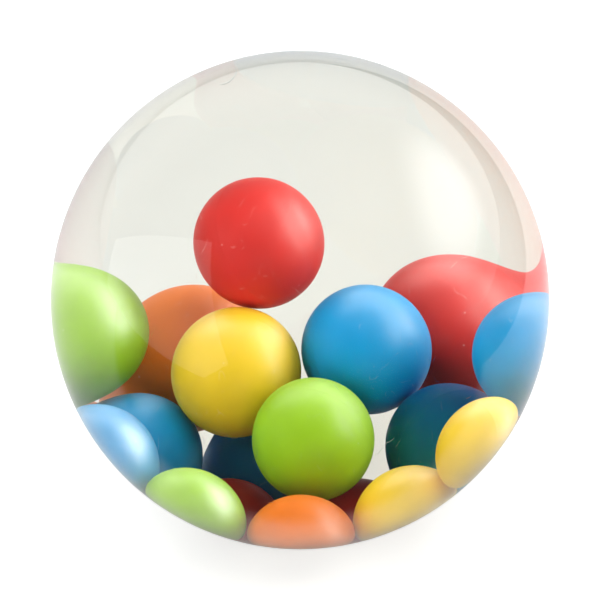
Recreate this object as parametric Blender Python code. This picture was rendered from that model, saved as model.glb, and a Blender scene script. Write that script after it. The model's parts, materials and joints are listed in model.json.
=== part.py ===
"""A clear toddler's ball with loose coloured beads sealed inside, 46 mm across.

It is built as the real one is: two clear half shells with a lapped seam, a plug in the filling hole, and the
beads, which lie in the bottom of the ball. Units are metres, +Z is up, and the origin is the ball's centre.
"""

import math

import bmesh
import bpy
from mathutils import Matrix, Vector

MM = 0.001

BALL_RADIUS = 23.0 * MM
WALL = 1.2 * MM
BEAD_RADIUS = 4.0 * MM
BEAD_GAP = 0.1 * MM  # the least space between two beads
WALL_GAP = 0.2 * MM  # the least space between a bead and the shell

SEAM_LEAN = math.radians(42)  # the seam's axis rises this far above the horizontal, towards -Y
TONGUE_HEIGHT = 1.2 * MM  # how far the rear shell's tongue reaches into the front shell
LIP = 0.5 * MM  # the front shell's wall where it laps over the tongue
SEAM_GAP = 0.2 * MM

PLUG_RADIUS = 1.6 * MM
PLUG_GAP = 0.2 * MM
PLUG_CHAMFER = 0.15 * MM
PLUG_BEARING = math.radians(113)  # where the filling hole lies, counter-clockwise from +X
PLUG_DIP = math.radians(50)  # and how far it lies below the horizontal

SHELL_SIDES = 40  # facets round the seam
SHELL_RISE = 10  # facets from the seam to a pole
PLUG_SIDES = 24
BEAD_SUBDIVISIONS = 3

INNER_RADIUS = BALL_RADIUS - WALL
FARTHEST = INNER_RADIUS - WALL_GAP - BEAD_RADIUS  # a bead's centre stays this close to the ball's

# name: colour, base colour of the moulded plastic
FINISHES = {
    "red": (0.68, 0.045, 0.035, 1),
    "lime": (0.30, 0.53, 0.02, 1),
    "yellow": (0.80, 0.55, 0.04, 1),
    "orange": (0.82, 0.19, 0.02, 1),
    "blue": (0.0, 0.28, 0.62, 1),
}

# The heap, in millimetres from the ball's centre: where each bead is dropped before the heap settles.
HEAP = {
    "red_bead_1": (-2.5, 9.5, -4.0),  # the one that rides on top of the heap
    "yellow_bead_1": (-4.0, 3.5, -9.5),
    "blue_bead_1": (4.0, 4.0, -8.5),
    "lime_bead_1": (1.0, -3.0, -9.5),
    "lime_bead_2": (-13.0, 6.5, -8.5),  # the next row lies round the wall
    "orange_bead_1": (-6.0, 10.0, -13.5),
    "red_bead_2": (8.0, 10.5, -11.5),
    "blue_bead_5": (14.5, 2.0, -7.0),
    "yellow_bead_2": (13.5, -8.5, -7.5),
    "yellow_bead_3": (7.5, -8.5, -12.5),
    "orange_bead_2": (0.0, -11.5, -13.0),
    "lime_bead_3": (-7.5, -10.0, -12.0),
    "blue_bead_2": (-13.0, -4.0, -11.0),
    "blue_bead_3": (-9.5, 2.0, -15.0),  # the last five lie at the bottom
    "blue_bead_4": (-1.5, 4.5, -17.0),
    "blue_bead_6": (8.5, -0.5, -12.0),
    "red_bead_3": (-4.0, -3.5, -17.0),
    "red_bead_4": (4.0, -3.5, -17.5),
}

SETTLING_PASSES = 400
SETTLED = 0.0001 * MM


def clear_scene():
    for thing in list(bpy.data.objects):
        bpy.data.objects.remove(thing, do_unlink=True)


def plastic(name, colour, roughness, transmission=0.0):
    """A moulded plastic, opaque unless it has some transmission."""
    material = bpy.data.materials.new(name)
    material.use_nodes = True
    shader = material.node_tree.nodes["Principled BSDF"]
    shader.inputs["Base Color"].default_value = colour
    shader.inputs["Roughness"].default_value = roughness
    shader.inputs["Metallic"].default_value = 0.0
    shader.inputs["Transmission Weight"].default_value = transmission
    material.diffuse_color = colour
    return material


def finish_object(name, bm, material):
    """Turns a bmesh into a named object with one material and smooth round faces."""
    mesh = bpy.data.meshes.new(name)
    bmesh.ops.recalc_face_normals(bm, faces=bm.faces)
    bm.to_mesh(mesh)
    bm.free()
    mesh.shade_smooth()
    mesh.set_sharp_from_angle(angle=math.radians(30))
    mesh.materials.append(material)
    thing = bpy.data.objects.new(name, mesh)
    bpy.context.scene.collection.objects.link(thing)
    return thing


def arc(radius, start, stop, steps):
    """Points in the XZ plane on a circle about the origin, between two angles up from +X."""
    angles = [start + (stop - start) * i / steps for i in range(steps + 1)]
    return [(radius * math.cos(a), radius * math.sin(a)) for a in angles]


def turned(profile):
    """Spins an open profile of (radius, height) points, which starts and ends on the axis, into a closed solid."""
    bm = bmesh.new()
    points = [bm.verts.new((max(x, 0.0), 0.0, z)) for x, z in profile]
    edges = [bm.edges.new(pair) for pair in zip(points, points[1:])]
    bmesh.ops.spin(
        bm,
        geom=points + edges,
        cent=(0, 0, 0),
        axis=(0, 0, 1),
        angle=math.tau,
        steps=SHELL_SIDES,
        use_merge=True,
    )
    bmesh.ops.remove_doubles(bm, verts=bm.verts, dist=0.001 * MM)
    return bm


def front_profile():
    """From the pole down the outside, round the lip and its rebate, and back up the inside."""
    shoulder = TONGUE_HEIGHT + SEAM_GAP
    outer = arc(BALL_RADIUS, math.pi / 2, math.asin(SEAM_GAP / 2 / BALL_RADIUS), SHELL_RISE)
    rebate = [(BALL_RADIUS - LIP, SEAM_GAP / 2), (BALL_RADIUS - LIP, shoulder)]
    inner = arc(INNER_RADIUS, math.asin(shoulder / INNER_RADIUS), math.pi / 2, SHELL_RISE)
    return outer + rebate + inner


def rear_profile():
    """From the pole up the outside, over the tongue, and back down the inside."""
    outer = arc(BALL_RADIUS, -math.pi / 2, -math.asin(SEAM_GAP / 2 / BALL_RADIUS), SHELL_RISE)
    outside = BALL_RADIUS - LIP - SEAM_GAP
    tongue = [(outside, -SEAM_GAP / 2), (outside, TONGUE_HEIGHT)]
    inner = arc(INNER_RADIUS, math.asin(TONGUE_HEIGHT / INNER_RADIUS), -math.pi / 2, SHELL_RISE + 1)
    return outer + tongue + inner


def seam_turn():
    """Turns the seam's own axis from +Z to where it points on the ball at rest."""
    return Matrix.Rotation(math.pi / 2 - SEAM_LEAN, 4, "X")


def half_shell(name, profile, material):
    shell = finish_object(name, turned(profile), material)
    shell.matrix_world = seam_turn()
    return shell


def plug_direction():
    flat = math.cos(PLUG_DIP)
    return Vector((flat * math.cos(PLUG_BEARING), flat * math.sin(PLUG_BEARING), -math.sin(PLUG_DIP)))


def round_bar(name, radius, inner_end, outer_end, material, chamfer=0.0):
    """A round bar along the filling hole's axis, between two distances from the ball's centre."""
    bm = bmesh.new()
    bmesh.ops.create_cone(
        bm,
        cap_ends=True,
        segments=PLUG_SIDES,
        radius1=radius,
        radius2=radius,
        depth=outer_end - inner_end,
        matrix=Matrix.Translation((0, 0, (inner_end + outer_end) / 2)),
    )
    if chamfer:
        rims = [e for e in bm.edges if abs(e.verts[0].co.z - e.verts[1].co.z) < chamfer]
        bmesh.ops.bevel(
            bm, geom=rims, offset=chamfer, segments=1, profile=0.5, affect="EDGES", material=-1
        )
    bar = finish_object(name, bm, material)
    bar.matrix_world = Vector((0, 0, 1)).rotation_difference(plug_direction()).to_matrix().to_4x4()
    return bar


def fill_plug(shell, material):
    """Drills the filling hole through the shell and closes it with a plug that ends flush with the wall."""
    beyond = 2 * MM
    cutter = round_bar(
        "fill_hole_cutter", PLUG_RADIUS + PLUG_GAP, INNER_RADIUS - beyond, BALL_RADIUS + beyond, material
    )
    cutter.hide_render = True
    cutter.display_type = "WIRE"
    drill = shell.modifiers.new("fill_hole", "BOOLEAN")
    drill.object = cutter
    drill.operation = "DIFFERENCE"
    drill.solver = "EXACT"
    flush = math.sqrt(BALL_RADIUS**2 - PLUG_RADIUS**2)
    return round_bar("fill_plug", PLUG_RADIUS, INNER_RADIUS, flush, material, PLUG_CHAMFER)


def settle(places):
    """Moves overlapping beads apart and back inside the shell until every gap is kept."""
    names = list(places)
    centres = [Vector(places[name]) * MM for name in names]
    spacing = 2 * BEAD_RADIUS + BEAD_GAP
    for _ in range(SETTLING_PASSES):
        worst = 0.0
        for i, first in enumerate(centres):
            for second in centres[i + 1 :]:
                apart = second - first
                short = spacing - apart.length
                if short > 0:
                    push = apart.normalized() * short / 2
                    first -= push
                    second += push
                    worst = max(worst, short)
        for centre in centres:
            out = centre.length - FARTHEST
            if out > 0:
                centre *= FARTHEST / centre.length
                worst = max(worst, out)
        if worst < SETTLED:
            break
    return dict(zip(names, centres))


def bead(name, centre, material):
    """A round bead whose origin is its own centre, which its joint's axis passes through."""
    bm = bmesh.new()
    bmesh.ops.create_icosphere(bm, subdivisions=BEAD_SUBDIVISIONS, radius=BEAD_RADIUS)
    ball = finish_object(name, bm, material)
    ball.location = centre
    return ball


def main():
    clear_scene()
    clear = plastic("clear_shell", (0.96, 0.97, 0.93, 1), 0.03, transmission=1.0)
    half_shell("front_shell", front_profile(), clear)
    rear = half_shell("rear_shell", rear_profile(), clear)
    fill_plug(rear, clear)
    paints = {name: plastic(name + "_bead", colour, 0.35) for name, colour in FINISHES.items()}
    for name, centre in settle(HEAP).items():
        bead(name, centre, paints[name.split("_")[0]])


main()
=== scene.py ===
# %% [markdown]
# # A clear ball with loose coloured beads
#
# This lesson dresses a finished CAD model of a toddler's ball. The ball is a clear plastic shell,
# welded from two halves and filled with a clear liquid, with eighteen solid beads lying in the
# bottom of it. The CAD model already says where every piece is, how large it is and how it moves.
# Here each piece gets a smooth, detailed mesh and a finish, and the ball is lit and looked at.
#
# We start by loading the CAD model as a frame. Its pieces are never moved or changed: a smoother
# piece is built in the same place and rides on the same body.

# %% Load the frame
import json
import math
import random

import bmesh
import bpy
from mathutils import Matrix, Vector


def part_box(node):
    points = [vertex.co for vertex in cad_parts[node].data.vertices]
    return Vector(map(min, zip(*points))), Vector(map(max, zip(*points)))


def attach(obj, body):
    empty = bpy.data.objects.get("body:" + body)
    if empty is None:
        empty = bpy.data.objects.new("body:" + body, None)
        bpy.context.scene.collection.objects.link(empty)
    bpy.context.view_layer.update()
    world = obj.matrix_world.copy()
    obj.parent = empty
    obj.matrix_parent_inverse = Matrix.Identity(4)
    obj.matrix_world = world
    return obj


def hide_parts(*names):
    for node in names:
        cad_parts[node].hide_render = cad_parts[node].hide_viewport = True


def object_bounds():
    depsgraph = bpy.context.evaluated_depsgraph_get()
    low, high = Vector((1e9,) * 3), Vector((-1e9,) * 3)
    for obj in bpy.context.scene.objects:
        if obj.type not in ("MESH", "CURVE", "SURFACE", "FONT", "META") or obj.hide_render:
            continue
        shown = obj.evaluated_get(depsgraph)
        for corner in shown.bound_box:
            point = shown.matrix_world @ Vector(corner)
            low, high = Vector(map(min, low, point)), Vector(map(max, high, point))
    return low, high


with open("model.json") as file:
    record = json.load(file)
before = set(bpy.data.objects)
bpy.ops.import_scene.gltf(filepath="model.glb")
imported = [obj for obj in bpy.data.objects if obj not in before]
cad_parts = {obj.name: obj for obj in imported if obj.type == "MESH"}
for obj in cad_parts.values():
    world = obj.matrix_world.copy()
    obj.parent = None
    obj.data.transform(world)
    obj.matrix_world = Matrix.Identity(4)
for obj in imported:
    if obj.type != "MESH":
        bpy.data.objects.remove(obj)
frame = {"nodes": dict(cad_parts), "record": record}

cad_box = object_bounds()
print("CAD pieces:", len(frame["nodes"]))

# %% [markdown]
# ## Measures
#
# Every size comes from the CAD model, so that the looks can't drift away from it. The ball's radius
# is half the smallest side of the model's box, so that the finer ball stays inside it, and the bore
# is as wide as the front half's nearest points. The seam's axis is the way the front half bulges,
# and the plug's axis is the way the plug lies from the centre. A bead's place is the middle of its
# box.

# %% Measure the CAD pieces
MM = 0.001


def points(node):
    """The corners of a CAD piece."""
    return [v.co for v in frame["nodes"][node].data.vertices]


def middle(node):
    """The middle of a CAD piece's box."""
    low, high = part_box(node)
    return (low + high) / 2


def heading(node):
    """The direction from the ball's centre to the middle of a CAD piece's corners."""
    return sum(points(node), Vector()).normalized()


BALL = min(min(-low, high) for low, high in zip(*cad_box))
BORE = min(p.length for p in points("front_shell"))
WALL = BALL - BORE
SEAM_AXIS = heading("front_shell")
PLUG_AXIS = heading("fill_plug")
PLUG = max((p - p.dot(PLUG_AXIS) * PLUG_AXIS).length for p in points("fill_plug"))
BEADS = sorted(n for n in frame["nodes"] if "_bead_" in n)
bead_low, bead_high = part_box(BEADS[0])
BEAD = (bead_high - bead_low).x / 2
seam_rise = math.degrees(math.asin(SEAM_AXIS.z))
print(f"ball {BALL / MM:.2f} mm, wall {WALL / MM:.2f} mm")
print(f"plug {PLUG / MM:.2f} mm, bead {BEAD / MM:.2f} mm")
print(f"seam axis {seam_rise:.1f} degrees above the horizontal, {len(BEADS)} beads")

# %% [markdown]
# ## Turning a profile
#
# A ball, a shell and a plug are all round about an axis, so each can be drawn as a half section and
# spun. Even the section's arcs can be spun: a single vertex swung about the ball's centre leaves a
# chain of edges behind it. That is exact, and it keeps the faces in neat rings, which matters for a
# clear wall, where each uneven face would bend the view a little differently. After a full spin the
# two points on the axis have left a heap of doubles, so those are merged before the normals are
# made to agree.

# %% Helpers for round pieces
MERGE = 0.0005 * MM


def swing(bm, radius, start, stop, steps, centre=(0, 0, 0)):
    """Swings one vertex from one angle above +X to another, and returns the vertices in order."""
    first = bm.verts.new(
        Vector(centre) + Vector((radius * math.cos(start), 0, radius * math.sin(start)))
    )
    before = set(bm.verts)
    bmesh.ops.spin(
        bm, geom=[first], cent=centre, axis=(0, -1, 0), angle=stop - start, steps=steps
    )
    made = [v for v in bm.verts if v not in before]
    return [first] + made


def join(bm, *chains):
    """Joins chains of vertices, end to start, with an edge."""
    for one, other in zip(chains, chains[1:]):
        bm.edges.new((one[-1], other[0]))


def turn(bm, sides):
    """Spins the half section about +Z and closes it at the axis."""
    bmesh.ops.spin(
        bm,
        geom=bm.verts[:] + bm.edges[:],
        cent=(0, 0, 0),
        axis=(0, 0, 1),
        angle=math.tau,
        steps=sides,
        use_merge=True,
    )
    bmesh.ops.remove_doubles(bm, verts=bm.verts, dist=MERGE)
    bmesh.ops.dissolve_degenerate(bm, edges=bm.edges, dist=MERGE / 10)
    bmesh.ops.recalc_face_normals(bm, faces=bm.faces)


def rings(bm, radius, height, slack=0.002 * MM):
    """The edges of the ring at this radius and height."""

    def on_ring(v):
        away = math.hypot(v.co.x, v.co.y) - radius
        return abs(away) < slack and abs(v.co.z - height) < slack

    return [e for e in bm.edges if all(on_ring(v) for v in e.verts)]


def soften(bm, edges, width, segments=2):
    """Rounds these edges off."""
    bmesh.ops.bevel(
        bm, geom=edges, offset=width, segments=segments, profile=0.5, affect="EDGES", material=-1
    )


def aim(bm, axis):
    """Turns the piece so that its +Z lies along axis."""
    turned = Vector((0, 0, 1)).rotation_difference(axis).to_matrix()
    bmesh.ops.rotate(bm, verts=bm.verts, cent=(0, 0, 0), matrix=turned)


def finished(name, bm, body, sharp=35):
    """Makes the mesh an object that rides on its CAD body."""
    mesh = bpy.data.meshes.new(name)
    bm.to_mesh(mesh)
    bm.free()
    mesh.shade_smooth()
    mesh.set_sharp_from_angle(angle=math.radians(sharp))
    piece = bpy.data.objects.new(name, mesh)
    bpy.context.scene.collection.objects.link(piece)
    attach(piece, body)
    print(f"{name}: {len(mesh.polygons)} faces, on {body}")
    return piece


# %% [markdown]
# ## The two half shells
#
# A clear ball like this is moulded as two cups and welded. The rear cup has a thin tongue round its
# rim, and the front cup has a lip that laps over the tongue, so that the weld can't leak and the
# halves can't slip sideways. From outside all that shows of it is a hairline groove round the ball.
#
# Each cup is one closed half section: down the outside, round the lap and back up the inside. The
# wall's two skins need different finishes later on, because one meets air and the other meets the
# liquid, so every face is given the number of its finish now, by its distance from the centre.

# %% Make the half shells
SIDES = 192
RISE = 48
LAP = 1.2 * MM
LIP = 0.5 * MM
WELD = 0.02 * MM
GROOVE = 0.05 * MM
OUTSIDE, WETTED, WELDED = range(3)
OUTER_SKIN = 0.1 * MM  # a face this near the outer radius belongs to the outer skin
INNER_SKIN = 0.004 * MM  # and one this near the bore to the wetted skin


def front_section(bm):
    """From the pole down the outside, round the lip, and back up the inside."""
    low = WELD / 2
    shoulder = LAP + WELD
    outer = swing(bm, BALL, math.pi / 2, math.asin(low / BALL), RISE)
    lip = [bm.verts.new((BALL - LIP, 0, low)), bm.verts.new((BALL - LIP, 0, shoulder))]
    bm.edges.new(lip)
    inner = swing(bm, BORE, math.asin(shoulder / BORE), math.pi / 2, RISE)
    join(bm, outer, lip, inner)


def rear_section(bm):
    """From the pole up the outside, over the tongue, and back down the inside."""
    low = -WELD / 2
    outer = swing(bm, BALL, -math.pi / 2, math.asin(low / BALL), RISE)
    side = BALL - LIP - WELD
    tongue = [bm.verts.new((side, 0, low)), bm.verts.new((side, 0, LAP))]
    bm.edges.new(tongue)
    inner = swing(bm, BORE, math.asin(LAP / BORE), -math.pi / 2, RISE)
    join(bm, outer, tongue, inner)


def number_finishes(bm):
    """Gives each face the number of its finish, by how far it lies from the ball's centre."""
    for face in bm.faces:
        away = face.calc_center_median().length
        if away > BALL - OUTER_SKIN:
            face.material_index = OUTSIDE
        elif away < BORE + INNER_SKIN:
            face.material_index = WETTED
        else:
            face.material_index = WELDED


def half_shell(section, seam_height):
    """Turns a half section into a cup, with its outer seam edge rounded."""
    bm = bmesh.new()
    section(bm)
    turn(bm, SIDES)
    rim = math.sqrt(BALL**2 - seam_height**2)
    soften(bm, rings(bm, rim, seam_height), GROOVE)
    number_finishes(bm)
    aim(bm, SEAM_AXIS)
    return bm


front_shell = finished("front_half_shell", half_shell(front_section, WELD / 2), "ball_shell")
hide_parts("front_shell")

# %% [markdown]
# ## The filling hole
#
# The liquid and the beads go in through a hole at the back of the ball. The rear cup is turned
# first, like the front one. The hole can't be spun, because it doesn't lie on the seam's axis, so a
# Boolean cuts it, with the Exact solver, and the result is kept as a plain mesh. The faces that the
# cut leaves round the hole are welded ones.

# %% Make the rear shell
HOLE_GAP = 0.02 * MM
BEYOND = 2 * MM  # how far the cutter reaches past both sides of the wall
PLUG_SIDES = 96
ALONG = 0.1  # a face whose normal has less of the axis than this runs along the hole


def plug_bar(bm, radius, low, high):
    """A round bar on +Z between two heights."""
    bmesh.ops.create_cone(
        bm,
        cap_ends=True,
        segments=PLUG_SIDES,
        radius1=radius,
        radius2=radius,
        depth=high - low,
        matrix=Matrix.Translation((0, 0, (low + high) / 2)),
    )


def drilled(piece, axis, radius):
    """Cuts a round hole through the piece along an axis, and keeps the result as its mesh."""
    bm = bmesh.new()
    plug_bar(bm, radius, BORE - BEYOND, BALL + BEYOND)
    aim(bm, axis)
    mesh = bpy.data.meshes.new("hole")
    bm.to_mesh(mesh)
    bm.free()
    drill = bpy.data.objects.new("hole", mesh)
    bpy.context.scene.collection.objects.link(drill)
    cut = piece.modifiers.new("hole", "BOOLEAN")
    cut.object = drill
    cut.operation = "DIFFERENCE"
    cut.solver = "EXACT"
    bpy.context.view_layer.update()
    seen = piece.evaluated_get(bpy.context.evaluated_depsgraph_get())
    piece.data = bpy.data.meshes.new_from_object(seen)
    piece.modifiers.clear()
    bpy.data.objects.remove(drill)
    for face in piece.data.polygons:
        height = face.center.dot(axis)
        out = (face.center - height * axis).length
        if height > 0 and out < radius + HOLE_GAP and abs(face.normal.dot(axis)) < ALONG:
            face.material_index = WELDED


rear_shell = finished("rear_half_shell", half_shell(rear_section, -WELD / 2), "ball_shell")
drilled(rear_shell, PLUG_AXIS, PLUG + HOLE_GAP)
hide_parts("rear_shell")

# %% [markdown]
# ## The plug
#
# A plug is welded into the filling hole. It is turned on its own axis. Both of its ends carry on
# the curves of the shell, because a flat end would be a small lens in the wall. Its head has the
# dimple that its moulding gate leaves.

# %% Make the plug
PLUG_ROUND = 0.04 * MM
DIMPLE = 0.35 * MM
DIMPLE_DEPTH = 0.05 * MM
DIMPLE_ROUND = 0.04 * MM
DIMPLE_FLAT = 0.6  # the share of the dimple that its flat floor takes
PLUG_RINGS = 6
INWARD, OUTWARD = -0.9, 0.2  # how much a face at the plug's foot or head points along the axis


def curve(bm, ball, radii):
    """A chain of vertices on a ball about the origin, at these distances from +Z."""
    chain = [bm.verts.new((r, 0, math.sqrt(ball**2 - r**2))) for r in radii]
    for pair in zip(chain, chain[1:]):
        bm.edges.new(pair)
    return chain


bm = bmesh.new()
flush = math.sqrt(BALL**2 - PLUG**2)
brim = PLUG - PLUG_ROUND
steps = [i / PLUG_RINGS for i in range(PLUG_RINGS + 1)]
floor_of_dimple = BALL - DIMPLE_DEPTH
dimple = [bm.verts.new((x, 0, floor_of_dimple)) for x in (0, DIMPLE * DIMPLE_FLAT)]
bm.edges.new(dimple)
head = curve(bm, BALL, [DIMPLE + (brim - DIMPLE) * t for t in steps])
rim = [bm.verts.new((PLUG, 0, flush - PLUG_ROUND))]
foot = curve(bm, BORE, [PLUG * (1 - t) for t in steps])
join(bm, dimple, head, rim, foot)
turn(bm, PLUG_SIDES)
soften(bm, rings(bm, DIMPLE, math.sqrt(BALL**2 - DIMPLE**2)), DIMPLE_ROUND, 3)
for face in bm.faces:
    up = face.normal.z
    face.material_index = WETTED if up < INWARD else OUTSIDE if up > OUTWARD else WELDED
aim(bm, PLUG_AXIS)
fill_plug = finished("filling_hole_plug", bm, "ball_shell")
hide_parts("fill_plug")

# %% [markdown]
# ## The liquid
#
# The beads' outlines run out to the very edge of the ball and are magnified, which only a filled
# ball does. The liquid is a body of its own here, turned like the shell and a hair smaller than the
# bore. It does no bending itself: the shell's wetted skin does that, because light bends where the
# plastic ends. If a layer of air were left between the two, the rim would turn into a mirror.

# %% Make the liquid
LIQUID_GAP = 0.01 * MM

bm = bmesh.new()
swing(bm, BORE - LIQUID_GAP, math.pi / 2, -math.pi / 2, 2 * RISE)
turn(bm, SIDES // 2)
liquid = finished("clear_liquid", bm, "ball_shell")

# %% [markdown]
# ## The beads
#
# Each bead is a solid ball moulded in a two-part tool. That leaves two marks: a faint raised line
# where the halves of the tool met, and a small flat where the plastic flowed in. Both are too small
# to be seen at a glance, and together they keep a bead from looking like a computed sphere. One
# bead is drawn as a half section with both marks, and each copy is rolled to an angle of its own,
# with the flat kept to the back, and set in its CAD bead's place.

# %% Make the beads
BEAD_SIDES = 96
BEAD_RISE = 32
LINE_HEIGHT = 0.008 * MM
LINE_WIDTH = 0.09 * MM
GATE = 0.30 * MM
GATE_DEPTH = 0.02 * MM
GATE_TAPER = 0.9  # the flat's share of the gate, and the rest is its slope
BEAD_SHARP = 60  # degrees: the parting line and the gate stay smooth
SEED = 7


def bead_section(bm):
    """From the gate flat at the top, over the parting line, to the bottom."""
    brink = math.acos(GATE / BEAD)
    gate_height = BEAD * math.sin(brink) - GATE_DEPTH
    gate = [bm.verts.new((0, 0, gate_height)), bm.verts.new((GATE * GATE_TAPER, 0, gate_height))]
    bm.edges.new(gate)
    half = LINE_WIDTH / 2 / BEAD
    upper = swing(bm, BEAD - LINE_HEIGHT, brink, half, BEAD_RISE)
    line = [bm.verts.new((BEAD, 0, 0))]
    lower = swing(bm, BEAD - LINE_HEIGHT, -half, -math.pi / 2, BEAD_RISE)
    join(bm, gate, upper, line, lower)


def bead(name, dice):
    """One bead, rolled to its own angle, in its CAD bead's place."""
    bm = bmesh.new()
    bead_section(bm)
    turn(bm, BEAD_SIDES)
    gate = Vector((dice.uniform(-1, 1), dice.uniform(0.2, 1), dice.uniform(-1, 0)))
    aim(bm, gate.normalized())
    bmesh.ops.translate(bm, verts=bm.verts, vec=middle(name))
    new_name = name.replace("_bead_", "_plastic_bead_")
    piece = finished(new_name, bm, body_of[name], sharp=BEAD_SHARP)
    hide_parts(name)
    return piece


body_of = {n: b for b, ns in frame["record"]["behaviour"]["bodies"].items() for n in ns}
dice = random.Random(SEED)
beads = {name: bead(name, dice) for name in BEADS}
print(len(beads), "beads made")

# %% [markdown]
# ## Wiring materials in Python
#
# A material is a small machine of nodes. Drawing it by hand is fine for one, but plastics that
# share a recipe are easier to write down. The class below wraps one output of a node. Arithmetic on
# it adds Math nodes, so that 1 - mask means what it says, and its node method adds anything else:
# the kind of node, its settings, and then what goes into its sockets.

# %% A class for shader sums


class Wire:
    """One output of a node. Sums on it add Math nodes to the same material."""

    def __init__(self, tree, out=None):
        self.tree = tree
        self.out = out

    def node(self, kind, settings=None, values=None, out=0):
        """Adds a node, with its settings first and then its sockets' values or links."""
        made = self.tree.nodes.new("ShaderNode" + kind)
        for name, value in (settings or {}).items():
            setattr(made, name, value)
        for name, value in (values or {}).items():
            if isinstance(value, Wire):
                self.tree.links.new(value.out, made.inputs[name])
            else:
                made.inputs[name].default_value = value
        return Wire(self.tree, made.outputs[out] if made.outputs else None)

    def sum(self, operation, first, second=0.0):
        """Adds a Math node. A kind with one value leaves the second out."""
        return self.node("Math", {"operation": operation}, {0: first, 1: second})

    def __add__(self, other):
        return self.sum("ADD", self, other)

    def __radd__(self, other):
        return self.sum("ADD", other, self)

    def __sub__(self, other):
        return self.sum("SUBTRACT", self, other)

    def __rsub__(self, other):
        return self.sum("SUBTRACT", other, self)

    def __mul__(self, other):
        return self.sum("MULTIPLY", self, other)

    def __rmul__(self, other):
        return self.sum("MULTIPLY", other, self)

    def __abs__(self):
        return self.sum("ABSOLUTE", self)

    def step(self, low, high):
        """Rises smoothly from 0 at low to 1 at high."""
        return self.node(
            "MapRange",
            {"interpolation_type": "SMOOTHSTEP"},
            {"Value": self, "From Min": low, "From Max": high},
        )

    def blend(self, first, second):
        """Mixes two colours, with this value as the second one's share."""
        return self.node("Mix", {"data_type": "RGBA"}, {0: self, 6: first, 7: second}, out=2)


def new_material(name):
    """An empty material and the wire that its nodes start from."""
    material = bpy.data.materials.new(name)
    material.use_nodes = True
    material.node_tree.nodes.clear()
    return material, Wire(material.node_tree)


# %% [markdown]
# ## Marks that every moulded plastic has
#
# Three small patterns are shared by all the plastics. Cloudy noise makes the colour and gloss drift
# over a few millimetres. Hairline scratches are the thin contour lines of a stretched noise: where
# the noise crosses one half, there is a line, and a second noise rubs most of it out again. Specks
# are the middles of a few of a Voronoi pattern's cells. All of them read Object coordinates, so
# they sit still on the piece, and their scales are one over a length in metres.

# %% Patterns for plastic
LINE_CORE = 0.3  # the share of a scratch's width that is fully marked
WEAR_SIZE = 0.35  # the size of the worn stretches, as a share of a scratch's length
WEAR = (0.54, 0.64)  # the noise's range over which a scratch comes in
SPECK_CORE = 0.5  # the share of a speck that is fully marked
PICK_SLACK = 0.01


def clouds(start, size, detail=2.0, at=None):
    """Soft noise whose blotches are about size across, in metres."""
    at = at or start.node("TexCoord", out="Object")
    return start.node(
        "TexNoise", None, {"Vector": at, "Scale": 1 / size, "Detail": detail, "Roughness": 0.5}
    )


def scratches(start, length, width, stretch, turned):
    """Hairlines along a turned direction, 1 on a line and 0 off it."""
    at = start.node("TexCoord", out="Object")
    laid = start.node("Mapping", None, {"Vector": at, "Rotation": turned, "Scale": (1, stretch, 1)})
    noise = clouds(start, length, 1.0, laid)
    line = 1 - abs(noise - 0.5).step(width * LINE_CORE, width)
    worn = clouds(start, length * WEAR_SIZE, 1.0).step(*WEAR)
    return line * worn


def specks(start, spacing, size, share):
    """Small round spots: a share of the cells of a pattern has one."""
    at = start.node("TexCoord", out="Object")
    cell = {"Vector": at, "Scale": 1 / spacing}
    away = start.node("TexVoronoi", None, cell, out="Distance")
    pick = start.node("TexVoronoi", None, cell, out="Color")
    chance = start.node("SeparateColor", None, {0: pick})
    chosen = chance.step(1 - share, 1 - share + PICK_SLACK)
    return (1 - away.step(size * SPECK_CORE, size)) * chosen


# %% [markdown]
# ## The beads' plastics
#
# The beads are solid-coloured, satin plastic. The colour has to be strong, because the liquid and
# the wall in front add a pale veil to it. The index is low, because a bead that lies in liquid
# mirrors far less than one in air. A satin surface spreads its highlights wide, so its roughness is
# near the middle of the range, and it drifts a little. Scuffs and specks from the beads' rubbing on
# each other are paler than the plastic, as scratched plastic is, and they stand in a shallow bump.

# %% Finish the beads
COLOURS = {
    "red": (0.70, 0.030, 0.026, 1),
    "lime": (0.31, 0.56, 0.010, 1),
    "yellow": (0.86, 0.56, 0.020, 1),
    "orange": (0.86, 0.19, 0.012, 1),
    "blue": (0.0, 0.29, 0.66, 1),
}
BEAD_INDEX = 1.25
BEAD_GLOSS = 0.45
DRIFT = 3.5 * MM  # the sizes of the blotches in the colour, the gloss and the bump
GLOSS_DRIFT = 1.2 * MM
PEEL = 0.45 * MM
SCUFF = {"length": 2 * MM, "width": 0.006, "stretch": 0.25, "turned": (0.4, 0.2, 1.1)}
SPECK = {"spacing": 0.8 * MM, "size": 0.10, "share": 0.22}
SCUFF_SHOWS, SPECK_SHOWS = 0.12, 0.30
WARM_WHITE = (1.0, 0.96, 0.90, 1)
DARKEST, PALEST = 0.10, 0.55  # how far the blotches darken the colour, and the marks pale it


def paler(colour, share):
    """The colour, moved towards a warm white by a share."""
    return tuple(c + (w - c) * share for c, w in zip(colour, WARM_WHITE))


def deeper(colour, share):
    """The colour, darkened by a share."""
    return tuple(c * (1 - share) for c in colour[:3]) + (1,)


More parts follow.
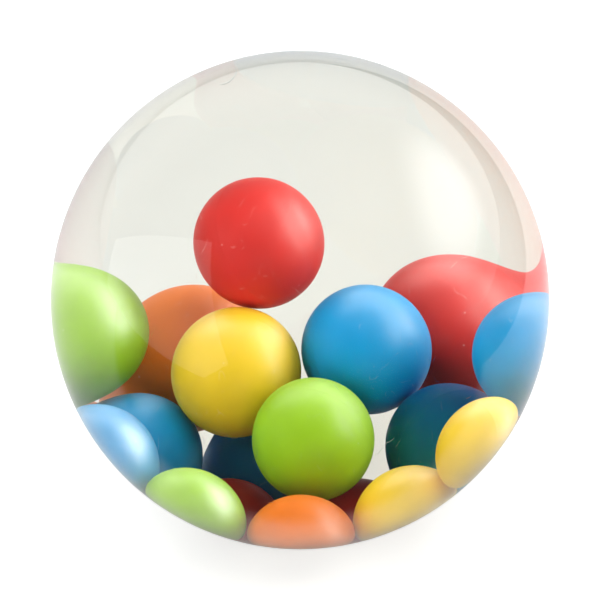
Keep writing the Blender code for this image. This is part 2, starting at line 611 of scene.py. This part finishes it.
def bead_plastic(name, colour):
    """Satin plastic of one colour, with drift, scuffs and specks."""
    material, start = new_material(name)
    drift = clouds(start, DRIFT, 3.0)
    body = drift.step(0.3, 0.7).blend(deeper(colour, DARKEST), colour)
    scuffs = scratches(start, **SCUFF)
    marks = scuffs * SCUFF_SHOWS + specks(start, **SPECK) * SPECK_SHOWS
    worn = marks.blend(body, paler(colour, PALEST))
    gloss = BEAD_GLOSS - 0.06 + clouds(start, GLOSS_DRIFT) * 0.12 + scuffs * 0.2
    peel = clouds(start, PEEL, 2.0) * 0.5 + marks
    bump = start.node("Bump", None, {"Height": peel, "Strength": 0.35, "Distance": 0.006 * MM})
    shader = start.node(
        "BsdfPrincipled",
        None,
        {"Base Color": worn, "Roughness": gloss, "IOR": BEAD_INDEX, "Normal": bump},
    )
    start.node("OutputMaterial", None, {"Surface": shader})
    return material


plastics = {c: bead_plastic(c + "_satin_plastic", colour) for c, colour in COLOURS.items()}
for name, piece in beads.items():
    piece.data.materials.append(plastics[name.split("_")[0]])
print("bead plastics:", ", ".join(plastics))

# %% [markdown]
# ## Clear plastic, wet on one side
#
# Light bends by the ratio of the two materials' indices. Outside, plastic of 1.5 meets air, so the
# shell's outer skin has the full index. Inside it meets a liquid of about 1.36, so the wetted
# skin's index is only 1.5 over 1.36. The welded faces touch plastic on both sides, and bend
# nothing.
#
# Lamps can't find their way through bent glass in a reasonable time, and the beads would stay dark.
# So each clear finish steps aside for the rays that carry lamp light: for a shadow ray or a ray
# that left a matt surface it is simply transparent. What the camera sees is still bent and mirrored
# properly.

# %% Finish the shell
PLASTIC_INDEX = 1.5
LIQUID_INDEX = 1.36
SHELL_TINT = (0.965, 0.972, 0.945, 1)
LIQUID_TINT = (0.955, 0.960, 0.910, 1)
LAMP_TINT = (0.97, 0.975, 0.96, 1)
CLEAR = (1, 1, 1, 1)
WAVE = 7 * MM  # the width of the mould's waves
SHELL_SCRATCH = {"length": 5 * MM, "width": 0.0015, "stretch": 0.3, "turned": (0.9, 0.3, 0.2)}
SCRATCH_SHARE = 0.3  # a hairline's depth, as a share of the mould's waves
SCRATCH_GLOSS = 0.12


def let_lamps_through(start, glass, tint):
    """Swaps the glass for plain transparency where lamp light passes."""
    open_air = start.node("BsdfTransparent", None, {"Color": tint})
    shadow = start.node("LightPath", out="Is Shadow Ray")
    matt = start.node("LightPath", out="Is Diffuse Ray")
    mixed = start.node("MixShader", None, {0: shadow, 1: glass, 2: open_air})
    return start.node("MixShader", None, {0: matt, 1: mixed, 2: open_air})


def clear_plastic(name, index, tint, ripple=0.0, scratched=False):
    """A clear finish with this relative index, and waves of this depth in millimetres."""
    material, start = new_material(name)
    values = {"Base Color": tint, "Roughness": 0.0, "IOR": index, "Transmission Weight": 1.0}
    if ripple:
        height = clouds(start, WAVE, 1.0)
        if scratched:
            lines = scratches(start, **SHELL_SCRATCH)
            values["Roughness"] = lines * SCRATCH_GLOSS
            height = height - lines * SCRATCH_SHARE
        bump = {"Height": height, "Strength": 1.0, "Distance": ripple * MM}
        values["Normal"] = start.node("Bump", None, bump)
    glass = start.node("BsdfPrincipled", None, values)
    start.node("OutputMaterial", None, {"Surface": let_lamps_through(start, glass, LAMP_TINT)})
    return material


wet_index = PLASTIC_INDEX / LIQUID_INDEX
outer_skin = clear_plastic("clear_plastic_outer_skin", PLASTIC_INDEX, SHELL_TINT, 0.004, True)
wetted_skin = clear_plastic("clear_plastic_wetted_skin", wet_index, CLEAR, 0.01)
weld_line = clear_plastic("clear_plastic_weld", 1.0, CLEAR, 0.01)
liquid.data.materials.append(clear_plastic("clear_liquid", 1.0, LIQUID_TINT))
for piece in (front_shell, rear_shell, fill_plug):
    for finish in (outer_skin, wetted_skin, weld_line):
        piece.data.materials.append(finish)
    used = [sum(f.material_index == i for f in piece.data.polygons) for i in range(3)]
    print(f"{piece.name}: {used[0]} faces outside, {used[1]} wetted, {used[2]} welded")

# %% [markdown]
# ## Camera
#
# The camera looks along the seam's axis, so the seam lies at the ball's outline and crosses
# nothing. It stands ten radii away. A ball's outline is a cone's width, so the lens follows from
# the share of the picture that the ball fills.

# %% Camera
DISTANCE = 10 * BALL
SHARE = 0.8317  # of the picture's width that the ball's outline takes
SENSOR = 36.0

camera = bpy.data.objects.new("camera", bpy.data.cameras.new("camera"))
bpy.context.scene.collection.objects.link(camera)
toward = Vector((0, SEAM_AXIS.y, SEAM_AXIS.z)).normalized()
right = Vector((1, 0, 0))
up = toward.cross(right)
camera.location = toward * DISTANCE
camera.rotation_euler = (-toward).to_track_quat("-Z", "Y").to_euler()
camera.data.sensor_width = SENSOR
camera.data.lens = SHARE * SENSOR / 2 / math.tan(math.asin(BALL / DISTANCE))
camera.data.clip_start = 0.01
bpy.context.scene.camera = camera
print(f"lens {camera.data.lens:.1f} mm, up {tuple(round(c, 3) for c in up)}")

# %% [markdown]
# ## Floor
#
# A plain pale floor. A clear ball mirrors everything round it, and a white floor on all sides would
# lay a grey veil over the beads. So the floor behaves like a white sheet in a dim room. Mirror rays
# see a sheet that ends in front and on the right, and the bounce that comes up from it is weak. The
# camera sees the floor a little overexposed. The lamps hang close to the ball, so what is seen of
# the far floor through the ball glows a little of its own. The light path node tells these rays
# apart.

# %% Make the floor
FLOOR_HALF = 2.0  # metres from its middle to each side
SHEET_FRONT = -1.1 * BALL
SHEET_RIGHT = 4.3 * BALL
BOUNCE = 0.30  # the share of the floor's light that bounces up
DIM = 0.06  # how bright mirror rays see the floor past the sheet
EXTRA = 0.5  # the glow that the camera sees
FAR_GLOW = 0.5  # and the one that is seen through the ball
NEAR, FAR = 0.3, 1.2  # metres from the ball
SHEET_SOFT = 0.15 * BALL
BLOTCH = 40 * MM
PALE = ((0.775, 0.775, 0.78, 1), (0.795, 0.795, 0.80, 1))
BLACK, WHITE = (0, 0, 0, 1), (1, 1, 1, 1)

bm = bmesh.new()
bmesh.ops.create_grid(bm, x_segments=1, y_segments=1, size=FLOOR_HALF)
bmesh.ops.translate(bm, verts=bm.verts, vec=(0, 0, -BALL))
mesh = bpy.data.meshes.new("floor")
bm.to_mesh(mesh)
bm.free()
floor = bpy.data.objects.new("floor", mesh)
bpy.context.scene.collection.objects.link(floor)

material, start = new_material("pale_floor")
tone = clouds(start, BLOTCH, 3.0).blend(*PALE)
at = start.node("TexCoord", out="Object")
x = start.node("SeparateXYZ", None, {0: at}, out="X")
y = start.node("SeparateXYZ", None, {0: at}, out="Y")
on_sheet = y.step(SHEET_FRONT - SHEET_SOFT, SHEET_FRONT + SHEET_SOFT)
on_sheet = on_sheet * (1 - x.step(SHEET_RIGHT - SHEET_SOFT, SHEET_RIGHT + SHEET_SOFT))
mirrored = start.node("LightPath", out="Is Glossy Ray")
mirrored = mirrored * (1 - start.node("LightPath", out="Is Transmission Ray"))
bounced = start.node("LightPath", out="Is Diffuse Ray")
lost = mirrored * (1 - on_sheet) * (1 - DIM) + bounced * (1 - BOUNCE)
tone = lost.blend(tone, BLACK)
away = start.node("VectorMath", {"operation": "LENGTH"}, {0: at}, out="Value")
far_off = start.node("LightPath", out="Is Transmission Ray") * away.step(NEAR, FAR)
glow = start.node("LightPath", out="Is Camera Ray") * EXTRA + far_off * FAR_GLOW
glow = glow.blend(BLACK, WHITE)
shader = start.node(
    "BsdfPrincipled",
    None,
    {"Base Color": tone, "Roughness": 0.9, "Emission Color": glow, "Emission Strength": 1.0},
)
start.node("OutputMaterial", None, {"Surface": shader})
mesh.materials.append(material)

# %% [markdown]
# ## Surround
#
# The room is white behind the ball and dim on the camera's side, and fades smoothly from one to the
# other. It is fixed in the room, not to the camera. Where the camera looks past the floor's edge,
# straight or through the ball, it sees a plain pale wall.

# %% Make the surround
BRIGHT = 1.0
GLOOM = 0.10
WALL_SEEN = 1.0
TURN = (-0.45, 0.15)  # where the room turns from bright to dim: the cosine of the angle to the front

world = bpy.data.worlds.new("studio_room")
world.use_nodes = True
world.node_tree.nodes.clear()
room = Wire(world.node_tree)
way = room.node("TexCoord", out="Generated")
toward_front = room.node(
    "VectorMath", {"operation": "DOT_PRODUCT"}, {0: way, 1: toward}, out="Value"
)
level = GLOOM + (1 - toward_front.step(*TURN)) * (BRIGHT - GLOOM)
straight = room.node("LightPath", out="Is Camera Ray")
through = room.node("LightPath", out="Is Transmission Ray")
seen = straight + through
level = level * (1 - seen) + seen * WALL_SEEN
shade = room.node("Background", None, {"Color": (1.0, 1.0, 0.985, 1), "Strength": level})
room.node("OutputWorld", None, {"Surface": shade})
bpy.context.scene.world = world
bpy.context.scene.view_settings.view_transform = "Standard"

# %% [markdown]
# ## A lamp that faces the ball
#
# Every lamp here is a soft rectangle that faces the ball. Its place is given as the camera sees it:
# so far to the right, so far up and so far towards the camera. A lamp can be hidden from mirror
# rays, or from matt surfaces. Light linking lets it light only some pieces.

# %% Make a soft lamp
FADE = (0.1, 0.5)  # a faded panel's glow, from its middle towards its edge


def panel(name, place, width, height, radiance, lean=0.0, mirrored=True, faded=False, matt=True):
    """A soft lamp that faces the ball. Its place is right, up and towards the camera, in metres."""
    lamp = bpy.data.lights.new(name, "AREA")
    lamp.shape = "RECTANGLE"
    lamp.size = width
    lamp.size_y = height
    lamp.energy = radiance * math.pi * width * height
    if faded:
        lamp.use_nodes = True
        lamp.node_tree.nodes.clear()
        start = Wire(lamp.node_tree)
        spot = start.node("NewGeometry", out="Parametric")
        centre = {0: spot, 1: (0.5, 0.5, 0)}
        away = start.node("VectorMath", {"operation": "DISTANCE"}, centre, out="Value")
        glow = start.node("Emission", None, {"Strength": 1 - away.step(*FADE)})
        start.node("OutputLight", None, {"Surface": glow})
    thing = bpy.data.objects.new(name, lamp)
    bpy.context.scene.collection.objects.link(thing)
    where = place[0] * right + place[1] * up + place[2] * toward
    thing.location = where
    aimed = (-where).to_track_quat("-Z", "Y").to_matrix().to_4x4()
    thing.matrix_world = Matrix.Translation(where) @ aimed @ Matrix.Rotation(lean, 4, "Z")
    thing.visible_camera = False
    thing.visible_transmission = False
    thing.visible_glossy = mirrored
    thing.visible_diffuse = matt
    return thing


def share_light(lamp, pieces, state):
    """The lamp lights only these pieces (INCLUDE), or everything but them (EXCLUDE)."""
    group = bpy.data.collections.new(lamp.name + "_pieces")
    for piece in pieces:
        group.objects.link(piece)
    lamp.light_linking.receiver_collection = group
    for member in group.collection_objects:
        member.light_linking.link_state = state


# %% [markdown]
# ## Lamps
#
# Two lamps are there to be mirrored in the ball. A large soft panel on the right is its window-like
# reflection. It is brightest in the middle and fades to its edges, as a cloth-covered lamp does. A
# square reflector hangs on one corner to the left of the camera.
#
# The rest light the beads, and would show in the ball as bright patches, so mirror rays don't see
# them. They come from the top, the left, the right and low in front. The beads at the bottom get
# less than the others, as they lie in the others' shade.
#
# The sheen lamps do the opposite: they light no matt surface, and only give the beads the broad
# pale glow that a satin ball has where a window is mirrored in it. They are bright, because a bead
# in liquid mirrors very little.

# %% Hang the lamps
DEEP = ("blue_bead_4", "blue_bead_6", "red_bead_3", "red_bead_4")
FAR_SIDE = ("lime_bead_2", "lime_bead_3", "blue_bead_2")
DULL = ("red_bead_1", "orange_bead_1", "orange_bead_2")
shallow = [piece for name, piece in beads.items() if name not in DEEP]
deep = [beads[name] for name in DEEP]
glossy = [piece for name, piece in beads.items() if name not in DEEP + DULL]

panel("right_panel", (0.335, 0.215, 0.04), 0.54, 0.34, 3.8, faded=True)
panel("left_reflector", (-1.0, -0.1, 0.42), 1.2, 1.2, 1.0, lean=math.radians(45))
top = panel("top_panel", (0.0, 0.45, 0.40), 0.6, 0.6, 3.0, mirrored=False)
left = panel("left_panel", (-0.55, 0.15, 0.25), 0.5, 0.5, 2.0, mirrored=False)
side = panel("bead_panel", (0.50, 0.24, -0.04), 0.5, 0.5, 4.5, mirrored=False)
front = panel("front_panel", (0.05, -0.32, 0.58), 0.5, 0.3, 3.6, mirrored=False)
right_sheen = panel("right_sheen", (0.50, 0.24, -0.04), 0.7, 0.7, 34.0, matt=False)
back_sheen = panel("back_sheen", (0.0, 0.58, -0.15), 0.9, 0.6, 17.0, matt=False)
far_sheen = panel("far_sheen", (0.50, 0.26, 0.12), 0.6, 0.6, 60.0, matt=False)
share_light(top, deep, "EXCLUDE")
share_light(left, deep, "EXCLUDE")
share_light(side, shallow, "INCLUDE")
share_light(front, shallow, "INCLUDE")
share_light(right_sheen, shallow, "INCLUDE")
share_light(back_sheen, glossy, "INCLUDE")
share_light(far_sheen, [beads[name] for name in FAR_SIDE], "INCLUDE")
print(len(deep), "beads lie deep,", len(glossy), "have the back sheen")
